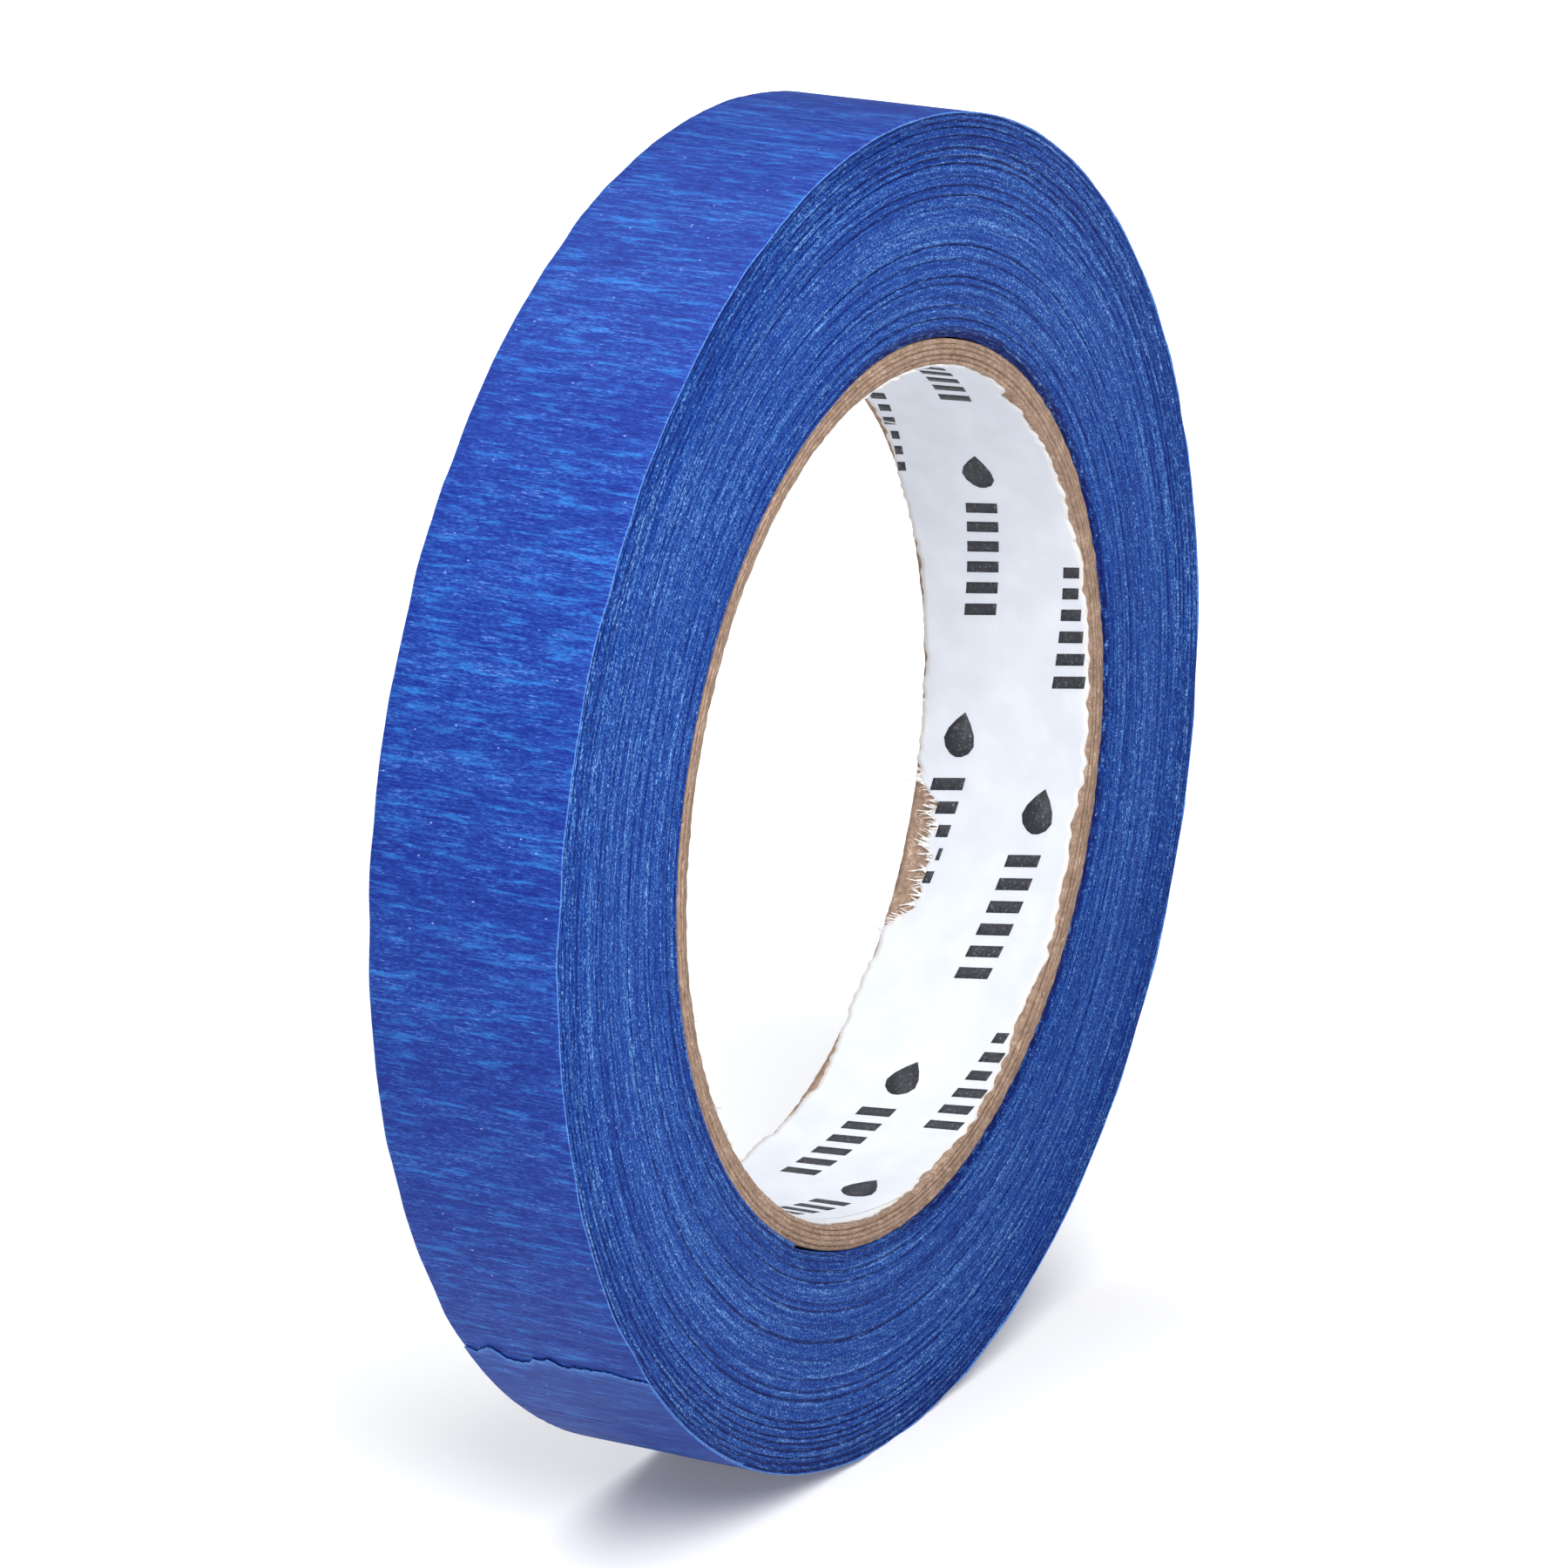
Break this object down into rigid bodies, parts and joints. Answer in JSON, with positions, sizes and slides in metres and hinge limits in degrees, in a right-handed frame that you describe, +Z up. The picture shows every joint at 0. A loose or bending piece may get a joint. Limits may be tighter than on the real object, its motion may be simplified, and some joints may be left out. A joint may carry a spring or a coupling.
{
  "type": "masking tape roll",
  "caption": "Full roll of blue crepe-paper masking tape on a lined paperboard core, with a free end that peels back.",
  "frame": {"origin": "middle of the core's bore, on the roll's axis", "axes": "+Y along the roll's axis, from the front face to the back face; +Z up with the roll standing on its rim"},
  "size_m": [0.1208, 0.018, 0.1208],
  "materials": {
    "liner_paper": "satin",
    "core_board": "matte",
    "tape_paper": "matte",
    "tape_adhesive": "gloss"
  },
  "bodies": {
    "roll": {"core_liner": "liner_paper", "core_ply_1": "core_board", "core_ply_2": "core_board", "core_ply_3": "core_board", "core_ply_4": "core_board", "core_ply_5": "core_board", "tape_winding": "tape_paper"},
    "free_end": {"tape_end_paper": "tape_paper", "tape_end_adhesive": "tape_adhesive"}
  },
  "joints": [
    {"name": "peel_line", "type": "hinge", "parent": "roll", "child": "free_end", "pos_m": [-0.03743, 0, -0.04759], "axis": [0, -1, 0], "range_deg": [0, 150]}
  ]
}
